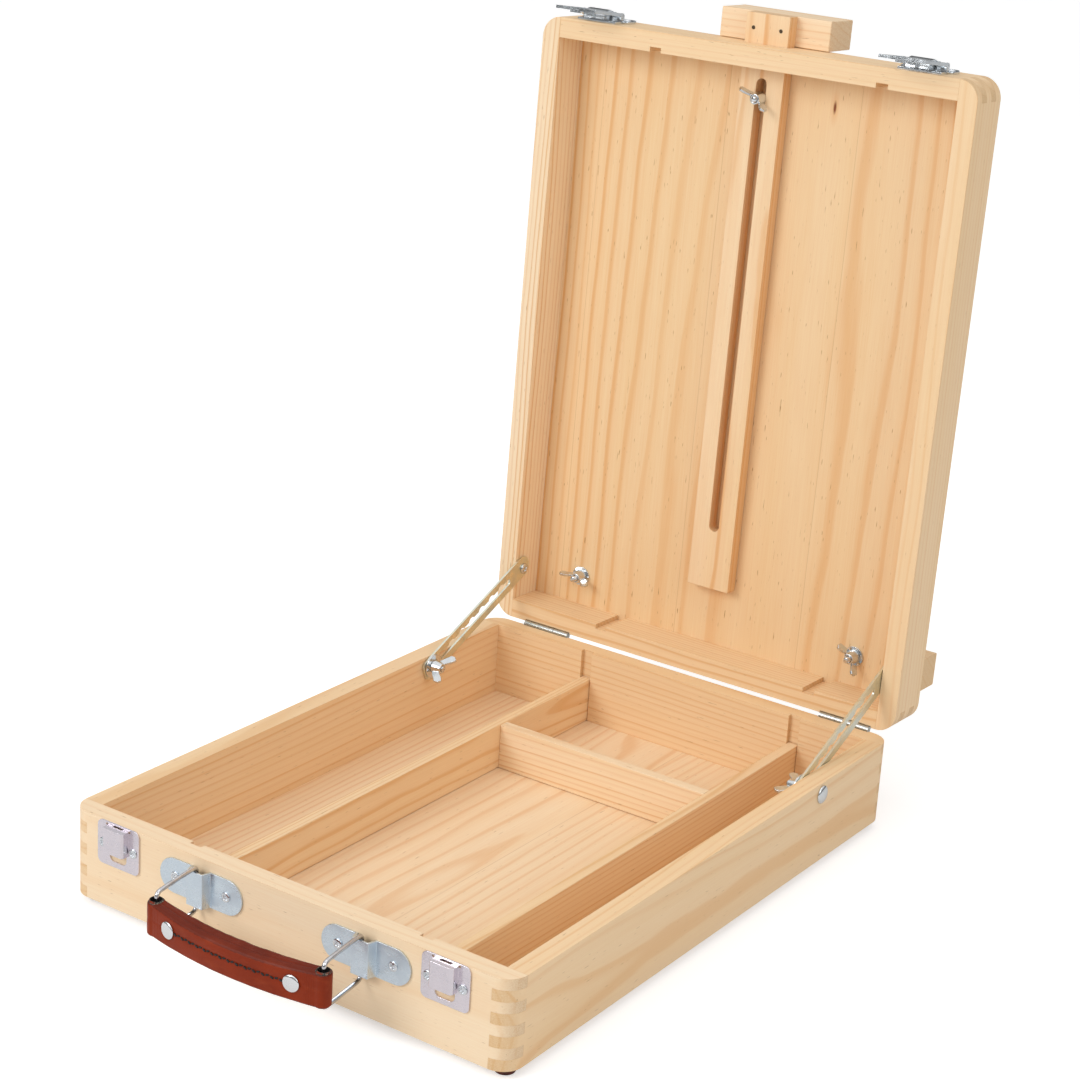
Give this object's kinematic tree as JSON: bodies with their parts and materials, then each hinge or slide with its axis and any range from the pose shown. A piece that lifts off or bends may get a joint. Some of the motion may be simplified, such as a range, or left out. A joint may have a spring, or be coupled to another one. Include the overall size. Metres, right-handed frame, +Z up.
{
  "type": "box easel",
  "caption": "Open wooden box easel: finger-jointed tray with dividers, hinged lid with sliding canvas clamp, notched stays, latches and a leather handle.",
  "frame": {"origin": "on the surface that the feet stand on, under the middle of the whole open easel", "axes": "+X to the right along the front wall, +Y to the back, +Z up"},
  "size_m": [0.3048, 0.5178, 0.473],
  "materials": {
    "box_pine": "sanded and waxed pine with straight grain",
    "divider_pine": "sanded thin pine strip",
    "floor_board": "sanded thin board",
    "lid_board": "thin veneered board with upright grain and a small knot",
    "batten_pine": "planed pine strip",
    "bar_pine": "planed pine bar with sawn ends",
    "ledge_pine": "planed pine bar",
    "foot_plastic": "dark brown moulded disc",
    "hinge_steel": "plated steel sheet",
    "latch_nickel": "bright nickel-plated pressed steel",
    "screw_steel": "plated cross-head screw",
    "bracket_steel": "bright zinc-plated pressed steel",
    "wire_steel": "bright plated wire",
    "stay_steel": "yellow zinc-plated stamped steel",
    "stay_screw_steel": "yellow zinc-plated screw",
    "fastener_steel": "zinc-plated steel",
    "nail_steel": "dull round nail head",
    "strap_leather": "red-brown stitched leather",
    "rivet_steel": "bright nickel-plated domed rivet"
  },
  "bodies": {
    "tray": {"tray_front_wall": "box_pine", "tray_back_wall": "box_pine", "tray_left_wall": "box_pine", "tray_right_wall": "box_pine", "tray_floor": "floor_board", "tray_feet": "foot_plastic", "left_hinge_tray_leaf": "hinge_steel", "right_hinge_tray_leaf": "hinge_steel", "hinge_pins": "hinge_steel", "hinge_tray_screws": "hinge_steel", "left_strike": "latch_nickel", "right_strike": "latch_nickel", "strike_screws": "screw_steel", "left_handle_bracket": "bracket_steel", "right_handle_bracket": "bracket_steel", "bracket_screws": "screw_steel", "stay_bolts": "fastener_steel"},
    "lid": {"lid_front_wall": "box_pine", "lid_back_wall": "box_pine", "lid_left_wall": "box_pine", "lid_right_wall": "box_pine", "lid_panel": "lid_board", "left_hinge_lid_leaf": "hinge_steel", "right_hinge_lid_leaf": "hinge_steel", "hinge_lid_screws": "hinge_steel", "canvas_ledge": "ledge_pine", "ledge_bolts": "fastener_steel", "ledge_washers": "fastener_steel", "clamp_bolt": "fastener_steel", "left_latch_plate": "latch_nickel", "right_latch_plate": "latch_nickel", "latch_pins": "latch_nickel", "latch_screws": "screw_steel"},
    "clamp": {"clamp_batten": "batten_pine", "clamp_crossbar": "bar_pine", "clamp_nails": "nail_steel"},
    "dividers": {"left_divider": "divider_pine", "right_divider": "divider_pine", "cross_divider": "divider_pine"},
    "left_stay_collar": {"left_stay_washer": "fastener_steel"},
    "right_stay_collar": {"right_stay_washer": "fastener_steel"},
    "left_stay": {"left_stay": "stay_steel", "left_stay_screw": "stay_screw_steel"},
    "right_stay": {"right_stay": "stay_steel", "right_stay_screw": "stay_screw_steel"},
    "left_stay_nut": {"left_stay_wing_nut": "fastener_steel"},
    "right_stay_nut": {"right_stay_wing_nut": "fastener_steel"},
    "left_ledge_nut": {"left_ledge_wing_nut": "fastener_steel"},
    "right_ledge_nut": {"right_ledge_wing_nut": "fastener_steel"},
    "clamp_nut": {"clamp_wing_nut": "fastener_steel"},
    "left_latch_lever": {"left_latch_lever": "latch_nickel"},
    "right_latch_lever": {"right_latch_lever": "latch_nickel"},
    "left_latch_hook": {"left_latch_hook": "latch_nickel"},
    "right_latch_hook": {"right_latch_hook": "latch_nickel"},
    "left_loop": {"left_handle_loop": "wire_steel"},
    "right_loop": {"right_handle_loop": "wire_steel"},
    "handle": {"handle_strap": "strap_leather", "strap_rivets": "rivet_steel"}
  },
  "joints": [
    {"name": "lid_hinge", "type": "hinge", "parent": "tray", "child": "lid", "pos_m": [0, 0.18841, 0.0574], "axis": [1, 0, 0], "range_deg": [0, 92.3]},
    {"name": "left_stay_swivel", "type": "hinge", "parent": "tray", "child": "left_stay_collar", "pos_m": [-0.1375, 0.10061, 0.05], "axis": [1, 0, 0], "range_deg": [-8, 0]},
    {"name": "left_stay_slide", "type": "slide", "parent": "left_stay_collar", "child": "left_stay", "axis": [0, -0.9145, -0.4046], "range_m": [0, 0.0495]},
    {"name": "left_stay_nut_turn", "type": "hinge", "parent": "tray", "child": "left_stay_nut", "pos_m": [-0.133, 0.10061, 0.05], "axis": [1, 0, 0], "continuous": true},
    {"name": "right_stay_swivel", "type": "hinge", "parent": "tray", "child": "right_stay_collar", "pos_m": [0.1375, 0.10061, 0.05], "axis": [1, 0, 0], "range_deg": [-8, 0]},
    {"name": "right_stay_slide", "type": "slide", "parent": "right_stay_collar", "child": "right_stay", "axis": [0, -0.9145, -0.4046], "range_m": [0, 0.0495]},
    {"name": "right_stay_nut_turn", "type": "hinge", "parent": "tray", "child": "right_stay_nut", "pos_m": [0.133, 0.10061, 0.05], "axis": [-1, 0, 0], "continuous": true},
    {"name": "clamp_slide", "type": "slide", "parent": "lid", "child": "clamp", "axis": [0, 0.0401, 0.9992], "range_m": [0, 0.27]},
    {"name": "left_ledge_nut_turn", "type": "hinge", "parent": "lid", "child": "left_ledge_nut", "pos_m": [-0.1019, 0.21582, 0.08943], "axis": [0, -0.9992, 0.0401], "continuous": true},
    {"name": "right_ledge_nut_turn", "type": "hinge", "parent": "lid", "child": "right_ledge_nut", "pos_m": [0.1043, 0.21582, 0.08943], "axis": [0, -0.9992, 0.0401], "continuous": true},
    {"name": "clamp_nut_turn", "type": "hinge", "parent": "lid", "child": "clamp_nut", "pos_m": [0, 0.22065, 0.4227], "axis": [0, -0.9992, 0.0401], "continuous": true},
    {"name": "left_lever_turn", "type": "hinge", "parent": "lid", "child": "left_latch_lever", "pos_m": [-0.113, 0.21497, 0.45946], "axis": [-1, 0, 0], "range_deg": [0, 150]},
    {"name": "left_hook_swing", "type": "hinge", "parent": "lid", "child": "left_latch_hook", "pos_m": [-0.113, 0.21497, 0.45946], "axis": [-1, 0, 0], "range_deg": [-11.5, 150]},
    {"name": "right_lever_turn", "type": "hinge", "parent": "lid", "child": "right_latch_lever", "pos_m": [0.1098, 0.21497, 0.45946], "axis": [-1, 0, 0], "range_deg": [0, 150]},
    {"name": "right_hook_swing", "type": "hinge", "parent": "lid", "child": "right_latch_hook", "pos_m": [0.1098, 0.21497, 0.45946], "axis": [-1, 0, 0], "range_deg": [-11.5, 150]},
    {"name": "left_loop_swing", "type": "hinge", "parent": "tray", "child": "left_loop", "pos_m": [-0.0542, -0.21259, 0.04], "axis": [0, 0, 1], "range_deg": [-73, 57]},
    {"name": "handle_swing", "type": "hinge", "parent": "left_loop", "child": "handle", "pos_m": [-0.04981, -0.24832, 0.04], "axis": [0, 0, 1], "range_deg": [-57, 73]},
    {"name": "right_loop_swing", "type": "hinge", "parent": "tray", "child": "right_loop", "pos_m": [0.058, -0.21259, 0.04], "axis": [0, 0, 1], "range_deg": [-73, 57]},
    {"name": "divider_lift", "type": "slide", "parent": "tray", "child": "dividers", "axis": [0, 0, 1], "range_m": [0, 0.034]}
  ],
  "couplings": [
    {"joint": "left_stay_swivel", "follows": "lid_hinge", "ratio": -0.072767},
    {"joint": "left_stay_slide", "follows": "lid_hinge", "m_per_rad": 0.030671},
    {"joint": "right_stay_swivel", "follows": "lid_hinge", "ratio": -0.072767},
    {"joint": "right_stay_slide", "follows": "lid_hinge", "m_per_rad": 0.030671},
    {"joint": "handle_swing", "follows": "left_loop_swing", "ratio": -1},
    {"joint": "right_loop_swing", "follows": "left_loop_swing", "ratio": 1}
  ]
}
